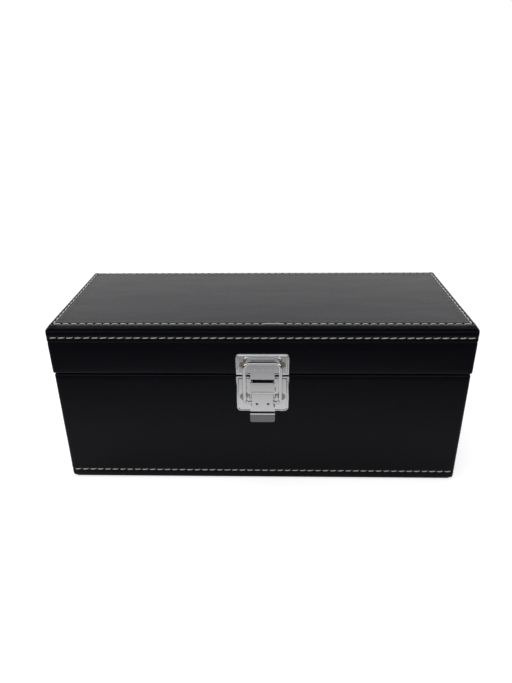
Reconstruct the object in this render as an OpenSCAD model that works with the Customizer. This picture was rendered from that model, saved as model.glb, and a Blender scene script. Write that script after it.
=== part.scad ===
// Coin display case: a leatherette box with a hinged lid, a slotted rack for coin holders and a draw latch.
// Millimetres. +Z up, the latch faces -Y. The origin is the middle of the face that the case stands on.

/* [Case] */
// Outside width of the lid
case_w = 244; // [200:1:320]
// Outside depth of the lid
case_d = 99; // [92:1:130]
// Height of the parting line above the table
base_h = 76; // [72:1:90]
// Height of the lid above the parting line
lid_h = 29; // [24:1:40]
// Distance that the lid stands proud of the base on each side
lid_overhang = 0.5; // [0.2:0.1:1]
// Gap between the two rims when the lid is shut
rim_gap = 0.4; // [0.2:0.1:0.8]
// Rounding of the corners and of the lid's top edges
edge_r = 1.7; // [1:0.1:3]

/* [Boards and coverings] */
// Thickness of the wall, top and bottom boards
board_t = 4; // [3:0.5:5]
// Thickness of the leatherette
skin_t = 0.8; // [0.6:0.1:1.2]
// Thickness of the velvet lining
lining_t = 0.8; // [0.5:0.1:1.2]
// Thickness of the covered card under the base
sole_t = 1.2; // [0.8:0.1:2]
// Distance from the base's edge to that card
sole_inset = 1.3; // [0.5:0.1:3]
// Width of the leatherette turned in under the base
turn_in = 12; // [8:1:16]
// Distance that the lid's top covering comes down the sides
cap_drop = 8; // [7:0.5:10]

/* [Rack] */
// Width of a coin holder
holder_w = 61; // [56:0.5:64]
// Thickness of a coin holder
holder_t = 8; // [6:0.5:9]
// Free space beside a holder, on each side
holder_clear = 0.4; // [0.3:0.1:1]
// Thickness of a divider between two holders
divider_t = 2.6; // [2:0.2:4]
// Depth of the slots
slot_depth = 4.5; // [3:0.5:6]
// Distance from the base's rim down to the rack
rack_drop = 6; // [3:0.5:12]
// Thickness of the floor pad
pad_t = 3; // [2:0.5:5]
// Thickness of the pad inside the lid
lid_pad_t = 3.5; // [2:0.5:5]
// Distance from that pad to the lid's lining
lid_pad_margin = 2; // [1:0.5:5]
// Rounding of that pad's corners
lid_pad_r = 3; // [2:0.5:6]

/* [Latch plates] */
// Distance of the latch from the middle of the front, to the right
latch_shift = 1.2; // [-5:0.1:5]
// Width of both latch plates
plate_w = 30.7; // [28:0.1:36]
// Height of the keeper plate on the lid
keeper_h = 13.7; // [13:0.1:16]
// Height of the latch plate on the base
latch_plate_h = 23.3; // [23:0.1:28]
// Gap between the two plates
plate_gap = 1.5; // [0.8:0.1:2]
// Distance from the parting line down to the middle of that gap
plate_gap_drop = 0.1; // [0:0.1:0.8]
// Height of the plates' faces above the leatherette
plate_rise = 1.4; // [1.2:0.1:1.8]
// Thickness of the plates' metal
plate_t = 0.8; // [0.6:0.1:1]
// Rounding of the plates' outer corners
plate_r = 2.6; // [1.5:0.1:4]
// Slope of the plates' edges, from foot to face
plate_step = 0.5; // [0.3:0.1:0.8]
// Height of the raised rim round the plates' faces
plate_rim_h = 0.2; // [0.1:0.05:0.4]
// Width of that rim
plate_rim_w = 0.7; // [0.5:0.1:1.2]
// Distance between the two screws of a plate
plate_screw_spread = 22.1; // [20:0.1:25]
// Distance from the keeper plate's top edge to its screws
keeper_screw_drop = 7.4; // [6:0.1:8]
// Distance from the latch plate's lower edge to its screws
latch_screw_rise = 10; // [9:0.1:12]

/* [Latch] */
// Thickness of the hook's metal
hook_t = 0.6; // [0.5:0.1:0.7]
// Width of the keeper's hook
hook_w = 14; // [12:0.2:16]
// Distance that the hook's shelf reaches out from the keeper plate's face
hook_reach = 2.2; // [2.1:0.1:2.6]
// Height of the lip at the shelf's outer edge
hook_lip = 0.25; // [0.15:0.05:0.3]
// Gap between the shelf and the bail when the bail sits on it
hook_gap = 0.22; // [0.15:0.01:0.3]
// Distance from the shelf down to the step in the hook
hook_neck_h = 3.2; // [2:0.1:5]
// Distance that the hook steps out there
hook_step = 0.6; // [0.4:0.1:0.8]
// Height of the hook, from its shelf down to its foot
hook_h = 12.6; // [10:0.1:12.8]
// Diameter of the bail's wire
wire_d = 2.1; // [1.8:0.1:2.2]
// Outside width of the bail
bail_w = 22.9; // [22.5:0.1:26]
// Bend radius at the bail's upper corners, to the middle of the wire
bail_bend_r = 3.6; // [3:0.1:5]
// Bend radius at the bail's feet, to the middle of the wire
bail_foot_r = 2.4; // [2:0.1:2.6]
// Distance from the bail's pin to the middle of its top bar
bail_len = 26.15; // [26:0.05:26.5]
// Distance between the bail and the hook that it is drawn clear of
bail_clear = 0.2; // [0.15:0.05:0.4]
// Distance from the parting line down to the lever's pivot
pivot_drop = 11.6; // [11.4:0.1:12]
// Distance of the lever's pivot from the lid's front face
pivot_out = 5; // [4.8:0.1:5.4]
// Distance from the lever's pivot down to the bail's pin
throw = 4.2; // [4.1:0.1:4.6]
// Distance of the bail's pin behind the lever's pivot
over_centre = 0.05; // [0:0.05:0.2]
// Radius of the lever's pivot pin
latch_pin_r = 0.75; // [0.6:0.05:0.8]
// Radius of the pin inside the bail's feet
bail_pin_r = 0.6; // [0.4:0.05:0.65]
// Distance from the lever's pivot up to the bracket's bridge
bridge_rise = 4.2; // [4.1:0.1:4.6]
// Distance from the parting line down to the bridge's upper edge
bridge_top_drop = 1.8; // [1:0.1:2]
// Distance of the bridge's face in front of the lever's pivot
bridge_out = 1.6; // [1.5:0.1:2]
// Rounding of the bracket's cheeks round the lever's pivot
cheek_r = 1.9; // [1.7:0.1:2]
// Distance from the lever's pivot up to its rounded top edge
lever_rise = 3.8; // [3.4:0.1:3.9]
// Bend radius of that edge, to the middle of the metal
lever_bend_r = 0.9; // [0.6:0.1:1]
// Half the width of the lever between its side flanges' outer faces
lever_half_w = 6.2; // [5.6:0.1:6.4]
// Half the width of the lever at its finger tab
tab_half_w = 7.2; // [6.4:0.1:7.4]
// Distance from the lever's pivot down to where its tab steps out
tab_drop = 9; // [8.6:0.1:10]
// Distance that the tab steps out from the case at its bend
tab_step = 0.98; // [0.5:0.02:1.5]
// Height of that bend
tab_bend_h = 1.7; // [1.2:0.1:2.5]
// Angle by which the tab leans out below the bend
tab_lean = 12; // [0:1:25]
// Height of the tab, its step included
tab_h = 6.2; // [5:0.1:7]
// Rounding of the tab's lower corners
tab_r = 1.2; // [0.8:0.1:2]
// Distance between the two small holes in the lever
dimple_spread = 6.4; // [5:0.2:8]
// Radius of those holes
dimple_r = 0.8; // [0.4:0.1:0.9]
// Thickness of the lever's and the bracket's metal
lever_t = 0.8; // [0.6:0.1:0.9]

/* [Hinges] */
// Distance from the end of the lid to the middle of a hinge
hinge_inset = 40; // [30:1:55]
// Width of a hinge
hinge_w = 26; // [20:1:32]
// Height of one hinge leaf, from the pin to its edge
leaf_h = 14; // [12:0.5:18]
// Thickness of a hinge leaf
leaf_t = 0.9; // [0.7:0.1:1.2]
// Radius of the knuckles
knuckle_r = 1.8; // [1.6:0.1:2.2]
// Radius of the hinge pin
hinge_pin_r = 0.9; // [0.7:0.1:1]
// Thickness of the hinge pin's heads
hinge_head_t = 0.6; // [0.4:0.1:1]
// Distance that those heads stay inside the knuckles' outline
hinge_head_inset = 0.3; // [0.1:0.1:0.6]
// Angle at which the hinge's stop holds the lid
lid_stop_deg = 105; // [95:1:115]
// Length of the lug that makes that stop, from the pin
stop_lug_h = 3.2; // [3:0.1:3.6]
// Distance between the two screws of a leaf
leaf_screw_spread = 16; // [12:0.5:20]
// Distance from the pin to the screws of a leaf
leaf_screw_drop = 8.4; // [7:0.1:9]

/* [Screws] */
// Radius of a countersunk head
head_r = 2.2; // [1.9:0.1:2.4]
// Depth of a countersunk head
head_h = 0.8; // [0.6:0.1:0.9]
// Radius of a screw's shank
shank_r = 1; // [0.8:0.1:1.1]
// Length of a screw, its head included
screw_len = 5; // [4.4:0.1:5]
// Width of the cross cut in a head
cross_w = 0.5; // [0.4:0.1:0.7]

/* [Hidden] */
$fn = 48;

leather = "#17181b";
board = "#8a7a63";
velvet = "#26262a";
foam = "#303036";
chrome = "#c9c9cc";
steel = "#a8a49c";

// A cut that goes past the face it opens
over = 1;
// Running clearance of a pin in its hole, and of a screw in its hole
pin_clear = 0.03;
screw_clear = 0.05;
// Clearance between pieces that slide past each other
side_clear = 0.2;

outer_r = min(edge_r, 2.2 * skin_t);
base_w = case_w - 2 * lid_overhang;
base_d = case_d - 2 * lid_overhang;
wall_t = skin_t + board_t;
base_rim = base_h - rim_gap / 2;
lid_rim = base_h + rim_gap / 2;
case_h = base_h + lid_h;
base_floor = sole_t + wall_t;
lid_ceiling = case_h - wall_t;
inner_w = base_w - 2 * (wall_t + lining_t);
inner_d = base_d - 2 * (wall_t + lining_t);

// The rack: strips along the front and back walls, with dividers that leave one slot for each holder
floor_z = base_floor + lining_t;
rack_top = base_rim - rack_drop;
slot_pitch = holder_t + 2 * holder_clear + divider_t;
slot_count = floor((inner_w - divider_t) / slot_pitch);
strip_t = (inner_d - holder_w - 2 * holder_clear) / 2;
strip_face = inner_d / 2 - strip_t;

// The latch. u is the distance out from the lid's front face.
front_y = -case_d / 2;
plates_z = base_h - plate_gap_drop;
keeper_z = plates_z + plate_gap / 2;
latch_top = plates_z - plate_gap / 2;
latch_foot = latch_top - latch_plate_h;
keeper_face = plate_rise;
latch_face = plate_rise - lid_overhang;
wire_r = wire_d / 2;
pivot_z = base_h - pivot_drop;
bail_pin_u = pivot_out - over_centre;
bail_pin_z = pivot_z - throw;
// The bail's bar stands in front of the hook, and drops in behind the lip when the bail is pushed home
hook_front = keeper_face + hook_reach;
hook_face = hook_front + hook_step;
bar_u = hook_face + bail_clear + wire_r;
bail_tilt = asin((bar_u - bail_pin_u) / bail_len);
seat_gap = 0.1;
seat_u = keeper_face + wire_r + seat_gap;
seat_tilt = asin((seat_u - bail_pin_u) / bail_len);
seat_z = bail_pin_z + bail_len * cos(seat_tilt);
shelf_z = seat_z - wire_r - hook_gap;
hook_foot = shelf_z - hook_h;
// The bracket's bridge stands in front of the hook's foot, and its cheeks end below it
bridge_half_w = lever_half_w + side_clear + lever_t;
bridge_u = pivot_out + bridge_out;
bridge_low = pivot_z + bridge_rise;
bridge_top = base_h - bridge_top_drop;
cheek_top = hook_foot - 2 * side_clear;
cheek_foot = pivot_z - cheek_r;
lever_top = pivot_z + lever_rise;
lever_u = bridge_u;
tab_z = pivot_z - tab_drop;
tab_end = tab_z - tab_h;
tab_out = tab_step + tab_h * tan(tab_lean);
// The pivot pin's heads stand a little wider than the pin
rivet_t = 0.5;
rivet_lip = 0.45;
rivet_r = latch_pin_r + rivet_lip;

// The hinges: their pin lies behind the lid's back face, at the height of the parting line
back_y = case_d / 2;
hinge_x = case_w / 2 - hinge_inset;
hinge_y = back_y + knuckle_r + seat_gap;
knuckle_gap = 0.15;
knuckle_l = (hinge_w - 2 * knuckle_gap) / 3;
leaf_foot = base_h - leaf_h;

// A box centred on X and Y, from z0 up to z1
module centred_box(w, d, z0, z1) {
    translate([-w / 2, -d / 2, z0]) cube([w, d, z1 - z0]);
}

// A box with round upright corners
module round_corner_box(w, d, z0, z1, r) {
    centred_box(w - 2 * r, d, z0, z1);
    centred_box(w, d - 2 * r, z0, z1);
    for (sx = [-1, 1], sy = [-1, 1])
        translate([sx * (w / 2 - r), sy * (d / 2 - r), z0]) cylinder(r = r, h = z1 - z0);
}

// The same box with round top edges as well
module round_top_box(w, d, z0, z1, r) {
    round_corner_box(w, d, z0, z1 - r, r);
    centred_box(w - 2 * r, d - 2 * r, z0, z1);
    for (sy = [-1, 1])
        translate([-w / 2 + r, sy * (d / 2 - r), z1 - r]) rotate([0, 90, 0]) cylinder(r = r, h = w - 2 * r);
    for (sx = [-1, 1])
        translate([sx * (w / 2 - r), d / 2 - r, z1 - r]) rotate([90, 0, 0]) cylinder(r = r, h = d - 2 * r);
    for (sx = [-1, 1], sy = [-1, 1])
        translate([sx * (w / 2 - r), sy * (d / 2 - r), z1 - r]) sphere(r = r);
}

// Moves to the lid's front face at the latch, where +Z of the children points out and +Y points up
module on_front() {
    translate([latch_shift, front_y, 0]) rotate([90, 0, 0]) children();
}

// The same for the back of the case
module on_back() {
    translate([0, back_y, 0]) rotate([90, 0, 180]) children();
}

// A pin of the latch along X, through a point given by its distance out and its height
module pin_along_x(r, x0, x1, u, z) {
    translate([latch_shift + x0, front_y - u, z]) rotate([0, 90, 0]) cylinder(r = r, h = x1 - x0);
}

// A profile of the latch in u and z, carried along X from x0 to x1
module profile_along_x(x0, x1) {
    translate([latch_shift + x1, front_y, 0]) rotate([90, 0, 0]) rotate([0, -90, 0])
        linear_extrude(x1 - x0) children();
}

// The outer corner of bent sheet metal, from the inside of its bend
module bend_corner(r) {
    intersection() {
        circle(r = r);
        square(r);
    }
}

// A countersunk screw with its head at z = 0, pointing down
module screw() {
    difference() {
        union() {
            translate([0, 0, -head_h]) cylinder(r1 = shank_r, r2 = head_r, h = head_h);
            translate([0, 0, -screw_len]) cylinder(r = shank_r, h = screw_len - head_h / 2);
        }
        for (turn = [0, 90])
            rotate(turn) translate([-head_r * 0.55, -cross_w / 2, -head_h * 0.6])
                cube([head_r * 1.1, cross_w, head_h]);
    }
}

// The hole for such a screw through one piece of metal, with its countersink
module screw_seat(depth) {
    translate([0, 0, -head_h]) cylinder(r1 = shank_r + screw_clear, r2 = head_r + screw_clear, h = head_h);
    cylinder(r = head_r + screw_clear, h = over);
    translate([0, 0, -depth - over]) cylinder(r = shank_r + screw_clear, h = depth + over);
}

// Where the screws of the two latch plates sit, at the height of the plates' faces
module at_keeper_screws() {
    on_front() for (sx = [-1, 1])
        translate([sx * plate_screw_spread / 2, keeper_z + keeper_h - keeper_screw_drop, keeper_face - 0.1])
            children();
}
module at_latch_screws() {
    on_front() for (sx = [-1, 1])
        translate([sx * plate_screw_spread / 2, latch_foot + latch_screw_rise, latch_face - 0.1]) children();
}

// Where the screws of the hinge leaves sit: side is 1 above the pin and -1 below it
module at_leaf_screws(side) {
    face = side > 0 ? leaf_t : leaf_t - lid_overhang;
    on_back() for (sx = [-1, 1], sp = [-1, 1])
        translate([sx * hinge_x + sp * leaf_screw_spread / 2, base_h + side * leaf_screw_drop, face]) children();
}

// The holes that the screws leave in boards and coverings
module screw_holes() {
    hole_depth = screw_len + side_clear;
    at_keeper_screws() translate([0, 0, -hole_depth]) cylinder(r = shank_r, h = hole_depth);
    at_latch_screws() translate([0, 0, -hole_depth]) cylinder(r = shank_r, h = hole_depth);
    for (side = [-1, 1])
        at_leaf_screws(side) translate([0, 0, -hole_depth]) cylinder(r = shank_r, h = hole_depth);
}

// Base: boards

module base_bottom_board() {
    color(board) centred_box(base_w - 2 * wall_t, base_d - 2 * wall_t, sole_t + skin_t, base_floor);
}

module base_long_board(side) {
    color(board) difference() {
        translate([0, side * (base_d / 2 - skin_t - board_t / 2), 0])
            centred_box(base_w - 2 * skin_t, board_t, sole_t + skin_t, base_rim - skin_t);
        screw_holes();
    }
}

module base_end_board(side) {
    color(board) translate([side * (base_w / 2 - skin_t - board_t / 2), 0, 0])
        centred_box(board_t, base_d - 2 * wall_t, sole_t + skin_t, base_rim - skin_t);
}

// Base: coverings

module base_cover() {
    color(leather) difference() {
        round_corner_box(base_w, base_d, sole_t, base_rim, outer_r);
        centred_box(base_w - 2 * skin_t, base_d - 2 * skin_t, sole_t + skin_t, base_rim - skin_t);
        centred_box(base_w - 2 * wall_t, base_d - 2 * wall_t, sole_t + skin_t, base_rim + over);
        centred_box(base_w - 2 * turn_in, base_d - 2 * turn_in, 0, base_rim);
        screw_holes();
    }
}

module base_sole() {
    color(leather)
        round_corner_box(base_w - 2 * sole_inset, base_d - 2 * sole_inset, 0, sole_t, outer_r);
}

module base_lining() {
    color(velvet) difference() {
        centred_box(base_w - 2 * wall_t, base_d - 2 * wall_t, base_floor, base_rim);
        centred_box(inner_w, inner_d, floor_z, base_rim + over);
    }
}

// Rack

module floor_pad() {
    color(velvet) centred_box(inner_w, 2 * strip_face, floor_z, floor_z + pad_t);
}

module rack_strip(side) {
    color(foam) translate([0, side * (strip_face + strip_t / 2), 0])
        centred_box(inner_w, strip_t, floor_z, rack_top);
}

module dividers(side) {
    color(velvet) for (i = [0 : slot_count])
        translate([(i - slot_count / 2) * slot_pitch, side * (strip_face - slot_depth / 2), 0])
            centred_box(divider_t, slot_depth, floor_z + pad_t, rack_top);
}

// Lid: boards

module lid_top_board() {
    color(board)
        centred_box(case_w - 2 * skin_t, case_d - 2 * skin_t, lid_ceiling, case_h - skin_t);
}

module lid_long_board(side) {
    color(board) difference() {
        translate([0, side * (case_d / 2 - skin_t - board_t / 2), 0])
            centred_box(case_w - 2 * skin_t, board_t, lid_rim + skin_t, lid_ceiling);
        screw_holes();
    }
}

module lid_end_board(side) {
    color(board) translate([side * (case_w / 2 - skin_t - board_t / 2), 0, 0])
        centred_box(board_t, case_d - 2 * wall_t, lid_rim + skin_t, lid_ceiling);
}

// Lid: coverings

module lid_band() {
    color(leather) difference() {
        round_corner_box(case_w, case_d, lid_rim, case_h - cap_drop, outer_r);
        centred_box(case_w - 2 * skin_t, case_d - 2 * skin_t, lid_rim + skin_t, case_h);
        centred_box(case_w - 2 * wall_t, case_d - 2 * wall_t, 0, case_h);
        screw_holes();
    }
}

module lid_top_cover() {
    color(leather) difference() {
        round_top_box(case_w, case_d, case_h - cap_drop, case_h, outer_r);
        centred_box(case_w - 2 * skin_t, case_d - 2 * skin_t, 0, case_h - skin_t);
    }
}

module lid_lining() {
    color(velvet) difference() {
        centred_box(case_w - 2 * wall_t, case_d - 2 * wall_t, lid_rim, lid_ceiling);
        centred_box(case_w - 2 * (wall_t + lining_t), case_d - 2 * (wall_t + lining_t), 0, lid_ceiling - lining_t);
    }
}

module lid_pad() {
    pad_top = lid_ceiling - lining_t;
    color(velvet) round_corner_box(inner_w - 2 * lid_pad_margin, inner_d - 2 * lid_pad_margin,
        pad_top - lid_pad_t, pad_top, lid_pad_r);
}

// Latch plates

// Distance from a plate's edge to the inside of its rim
rim_inset = plate_step + plate_rim_w;

// A pressed plate with its foot on the leatherette, a raised rim, and two round corners
module pressed_plate(w, h, face, back, r, round_top) {
    for (layer = [[0, face - plate_step], [plate_step, face]])
        translate([0, 0, back]) linear_extrude(layer[1] - back)
            plate_outline(w - 2 * layer[0], h - 2 * layer[0], layer[0], r - layer[0], round_top);
    translate([0, 0, back]) linear_extrude(face + plate_rim_h - back) difference() {
        plate_outline(w - 2 * plate_step, h - 2 * plate_step, plate_step, r - plate_step, round_top);
        plate_outline(w - 2 * rim_inset, h - 2 * rim_inset, rim_inset, r - rim_inset, round_top);
    }
}

// The plate's outline with its lower edge on y = lift
module plate_outline(w, h, lift, r, round_top) {
    far = round_top ? 1 : 0;
    translate([-w / 2, lift + (1 - far) * r]) square([w, h - r]);
    translate([-w / 2 + r, lift]) square([w - 2 * r, h]);
    for (sx = [-1, 1])
        translate([sx * (w / 2 - r), lift + (far == 1 ? h - r : r)]) circle(r = r);
}

module plate_with_bosses(h, face, back, round_top, screw_y) {
    boss_r = head_r + plate_t;
    difference() {
        pressed_plate(plate_w, h, face, back, plate_r, round_top);
        difference() {
            translate([-plate_w / 2 + plate_t, plate_t, back - over])
                cube([plate_w - 2 * plate_t, h - 2 * plate_t, face - plate_t - back + over]);
            for (sx = [-1, 1])
                translate([sx * plate_screw_spread / 2, screw_y, back - over])
                    cylinder(r = boss_r, h = face - back + 2 * over);
            for (sx = [-1, 1], sy = [0, 1])
                translate([sx * plate_w / 2, sy * h, 0])
                    centred_box(2 * plate_r, 2 * plate_r, back - over, face);
        }
    }
}

module keeper_plate() {
    color(chrome) difference() {
        on_front() translate([0, keeper_z, 0])
            plate_with_bosses(keeper_h, keeper_face, 0, true, keeper_h - keeper_screw_drop);
        at_keeper_screws() screw_seat(keeper_face);
        profile_along_x(-hook_w / 2, hook_w / 2)
            translate([0, shelf_z - hook_t]) square([keeper_face + over, hook_t]);
    }
}

module latch_plate() {
    color(chrome) difference() {
        on_front() translate([0, latch_foot, 0])
            plate_with_bosses(latch_plate_h, latch_face, -lid_overhang, false, latch_screw_rise);
        at_latch_screws() screw_seat(plate_rise);
    }
}

// Keeper hook: a shelf staked through the keeper plate, with a lip, and a panel that steps out under it
module keeper_hook() {
    step_z = shelf_z - hook_neck_h;
    color(chrome) profile_along_x(-hook_w / 2, hook_w / 2) union() {
        translate([keeper_face - plate_t, shelf_z - hook_t]) square([plate_t + hook_reach - hook_t, hook_t]);
        translate([hook_front - hook_t, step_z - hook_t]) square([hook_t, hook_neck_h + hook_t]);
        translate([hook_front - hook_t / 2, shelf_z + hook_lip - hook_t / 2]) circle(r = hook_t / 2, $fn = 24);
        translate([hook_front - hook_t, step_z - hook_t]) square([hook_step, hook_t]);
        translate([hook_face - hook_t, step_z - hook_t]) bend_corner(hook_t);
        translate([hook_face - hook_t, hook_foot]) square([hook_t, step_z - hook_t - hook_foot]);
    }
}

// Latch bracket: a bridge with two cheeks that carry the lever's pivot
module latch_bracket() {
    color(chrome) difference() {
        union() {
            profile_along_x(-bridge_half_w, bridge_half_w) {
                translate([bridge_u - lever_t, bridge_low])
                    square([lever_t, bridge_top - lever_t - bridge_low]);
                translate([bridge_u - lever_t, bridge_top - lever_t]) bend_corner(lever_t);
            }
            for (sx = [-1, 1])
                translate([sx * (bridge_half_w - lever_t / 2), 0, 0])
                    profile_along_x(-lever_t / 2, lever_t / 2) {
                        translate([latch_face, bridge_low]) square([bridge_u - latch_face, cheek_top - bridge_low]);
                        translate([latch_face, cheek_foot]) square([pivot_out - latch_face, bridge_low - cheek_foot]);
                        translate([pivot_out, pivot_z]) square([bridge_out, bridge_low - pivot_z]);
                        translate([pivot_out, pivot_z]) circle(r = cheek_r);
                    }
        }
        pin_along_x(latch_pin_r + pin_clear, -plate_w / 2, plate_w / 2, pivot_out, pivot_z);
    }
}

// The lever's pivot pin, riveted over at both ends
module latch_pivot_pin() {
    half_len = bridge_half_w + pin_clear;
    color(steel) {
        pin_along_x(latch_pin_r, -half_len, half_len, pivot_out, pivot_z);
        pin_along_x(rivet_r, half_len, half_len + rivet_t, pivot_out, pivot_z);
        pin_along_x(rivet_r, -half_len - rivet_t, -half_len, pivot_out, pivot_z);
    }
}

// Lever: a face with two flanges, and a finger tab that steps out from the case

// The centre line of the lever's sheet: a bend at the top, a flat face, and a smooth step out to the tab
lever_mid = lever_u - lever_t / 2;
bend_steps = 6;
bend_z = lever_top - lever_t / 2 - lever_bend_r;
tab_steps = 12;
lever_line = concat(
    [for (i = [0 : bend_steps]) let (a = 90 - 90 * i / bend_steps)
        [lever_mid - lever_bend_r * (1 - cos(a)), bend_z + lever_bend_r * sin(a)]],
    [for (i = [0 : tab_steps]) let (t = i / tab_steps)
        [lever_mid + tab_step * t * t * (3 - 2 * t) + tab_bend_h * t * tan(tab_lean), tab_z - tab_bend_h * t]],
    [[lever_mid + tab_out, tab_end]]
);

// The direction of a line at point i, and the same turned by a right angle
function line_dir(p, i) = let (a = p[max(i - 1, 0)], b = p[min(i + 1, len(p) - 1)]) (b - a) / norm(b - a);
function line_side(p, i) = let (d = line_dir(p, i)) [-d[1], d[0]];

// A strip of sheet metal of thickness t along a centre line
module sheet_strip(p, t) {
    n = len(p);
    polygon(concat(
        [for (i = [0 : n - 1]) p[i] + line_side(p, i) * t / 2],
        [for (i = [n - 1 : -1 : 0]) p[i] - line_side(p, i) * t / 2]
    ));
}

module lever_front_outline() {
    neck_z = bail_pin_z - lever_t / 2;
    translate([-lever_half_w, neck_z]) square([2 * lever_half_w, lever_top - neck_z]);
    polygon([
        [lever_half_w, neck_z], [tab_half_w, tab_z], [tab_half_w, tab_end + tab_r],
        [-tab_half_w, tab_end + tab_r], [-tab_half_w, tab_z], [-lever_half_w, neck_z]
    ]);
    for (sx = [-1, 1])
        translate([sx * (tab_half_w - tab_r), tab_end + tab_r]) circle(r = tab_r);
    translate([tab_r - tab_half_w, tab_end]) square([2 * (tab_half_w - tab_r), tab_r]);
}

module latch_lever() {
    lobe_r = latch_pin_r + lever_t;
    flange_back = bail_pin_u - lobe_r + side_clear;
    color(chrome) difference() {
        union() {
            intersection() {
                profile_along_x(-tab_half_w, tab_half_w) sheet_strip(lever_line, lever_t);
                on_front() linear_extrude(lever_u + tab_out + over) lever_front_outline();
            }
            for (sx = [-1, 1])
                translate([sx * (lever_half_w - lever_t / 2), 0, 0])
                    profile_along_x(-lever_t / 2, lever_t / 2) {
                        translate([flange_back, bail_pin_z])
                            square([lever_u - lever_t / 2 - flange_back, throw]);
                        translate([pivot_out, pivot_z]) circle(r = lobe_r);
                        translate([bail_pin_u, bail_pin_z]) circle(r = lobe_r);
                    }
        }
        pin_along_x(latch_pin_r + pin_clear, -plate_w / 2, plate_w / 2, pivot_out, pivot_z);
        pin_along_x(bail_pin_r + pin_clear, -plate_w / 2, plate_w / 2, bail_pin_u, bail_pin_z);
        on_front() for (sx = [-1, 1])
            translate([sx * dimple_spread / 2, bail_pin_z, lever_u - lever_t - over])
                cylinder(r = dimple_r, h = lever_t + 2 * over);
    }
}

// Bail: a wire loop whose feet bend in to the lever, where they turn on a pin inside them

leg_x = bail_w / 2 - wire_r;
foot_x = leg_x - bail_foot_r;
foot_end = lever_half_w + side_clear;
bail_pin_half = foot_x + bail_pin_r;

module bail_pin() {
    color(steel) pin_along_x(bail_pin_r, -bail_pin_half, bail_pin_half, bail_pin_u, bail_pin_z);
}

module latch_bail() {
    corner_z = bail_len - bail_bend_r;
    color(chrome) translate([latch_shift, front_y - bail_pin_u, bail_pin_z]) rotate([bail_tilt, 0, 0])
        difference() {
            union() {
                for (sx = [-1, 1]) {
                    translate([sx * leg_x, 0, bail_foot_r]) cylinder(r = wire_r, h = corner_z - bail_foot_r);
                    translate([sx * (foot_x + foot_end) / 2, 0, 0]) rotate([0, 90, 0])
                        cylinder(r = wire_r, h = foot_x - foot_end, center = true);
                    translate([sx * foot_x, 0, bail_foot_r]) rotate([90, 0, 0])
                        rotate([0, 0, sx > 0 ? -90 : 180]) wire_bend(bail_foot_r);
                    translate([sx * (leg_x - bail_bend_r), 0, corner_z]) rotate([90, 0, 0])
                        rotate([0, 0, sx > 0 ? 0 : 90]) wire_bend(bail_bend_r);
                }
                translate([bail_bend_r - leg_x, 0, bail_len]) rotate([0, 90, 0])
                    cylinder(r = wire_r, h = 2 * (leg_x - bail_bend_r));
            }
            rotate([0, 90, 0])
                cylinder(r = bail_pin_r + pin_clear, h = 2 * (bail_pin_half + pin_clear), center = true);
        }
}

// A quarter turn of the bail's wire
module wire_bend(r) {
    rotate_extrude(angle = 90) translate([r, 0]) circle(r = wire_r);
}

// Hinges

// One knuckle, from x0 to x1 beside the middle of the hinge, with the web that joins it to its leaf
module knuckle(x0, x1, side) {
    leaf_back = side > 0 ? back_y : back_y - lid_overhang;
    translate([x0, hinge_y, base_h]) rotate([0, 90, 0]) cylinder(r = knuckle_r, h = x1 - x0);
    translate([x0, leaf_back, side > 0 ? base_h : base_h - knuckle_r])
        cube([x1 - x0, hinge_y - leaf_back, knuckle_r]);
}

module hinge_bore() {
    translate([-hinge_w, hinge_y, base_h]) rotate([0, 90, 0])
        cylinder(r = hinge_pin_r + pin_clear, h = 2 * hinge_w);
}

// The leaf screwed to the base carries the two outer knuckles
module hinge_base_leaf(side) {
    color(chrome) difference() {
        translate([side * hinge_x, 0, 0]) difference() {
            union() {
                translate([-hinge_w / 2, back_y - lid_overhang, leaf_foot])
                    cube([hinge_w, leaf_t, leaf_h - knuckle_r - side_clear]);
                knuckle(-hinge_w / 2, -hinge_w / 2 + knuckle_l, -1);
                knuckle(hinge_w / 2 - knuckle_l, hinge_w / 2, -1);
                for (sx = [-1, 1])
                    translate([sx * (hinge_w - knuckle_l) / 2, back_y - lid_overhang + leaf_t / 2,
                        base_h - knuckle_r])
                        cube([knuckle_l, leaf_t, 3 * side_clear], center = true);
            }
            hinge_bore();
        }
        at_leaf_screws(-1) screw_seat(leaf_t);
    }
}

// The leaf screwed to the lid carries the middle knuckle, and a lug that stops the lid
module hinge_lid_leaf(side) {
    lug_deg = 180 + asin((hinge_y - back_y + lid_overhang - leaf_t) / stop_lug_h) - lid_stop_deg;
    color(chrome) difference() {
        translate([side * hinge_x, 0, 0]) difference() {
            union() {
                translate([-hinge_w / 2, back_y, base_h + knuckle_r + side_clear])
                    cube([hinge_w, leaf_t, leaf_h - knuckle_r - side_clear]);
                knuckle(-knuckle_l / 2, knuckle_l / 2, 1);
                translate([-knuckle_l / 2, back_y, base_h + knuckle_r - 0.1])
                    cube([knuckle_l, leaf_t, 2 * side_clear]);
                translate([0, hinge_y, base_h]) rotate([-lug_deg, 0, 0])
                    translate([-knuckle_l / 4, -leaf_t, 0]) cube([knuckle_l / 2, leaf_t, stop_lug_h]);
            }
            hinge_bore();
        }
        at_leaf_screws(1) screw_seat(leaf_t);
    }
}

module hinge_pin(side) {
    color(steel) translate([side * hinge_x, hinge_y, base_h]) rotate([0, 90, 0]) {
        cylinder(r = hinge_pin_r, h = hinge_w, center = true);
        for (sx = [-1, 1])
            translate([0, 0, sx * (hinge_w + hinge_head_t) / 2])
                cylinder(r = knuckle_r - hinge_head_inset, h = hinge_head_t, center = true);
    }
}

// Screws

module keeper_screws() {
    color(steel) at_keeper_screws() screw();
}

module latch_plate_screws() {
    color(steel) at_latch_screws() screw();
}

module leaf_screws(side) {
    color(steel) at_leaf_screws(side) screw();
}

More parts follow.
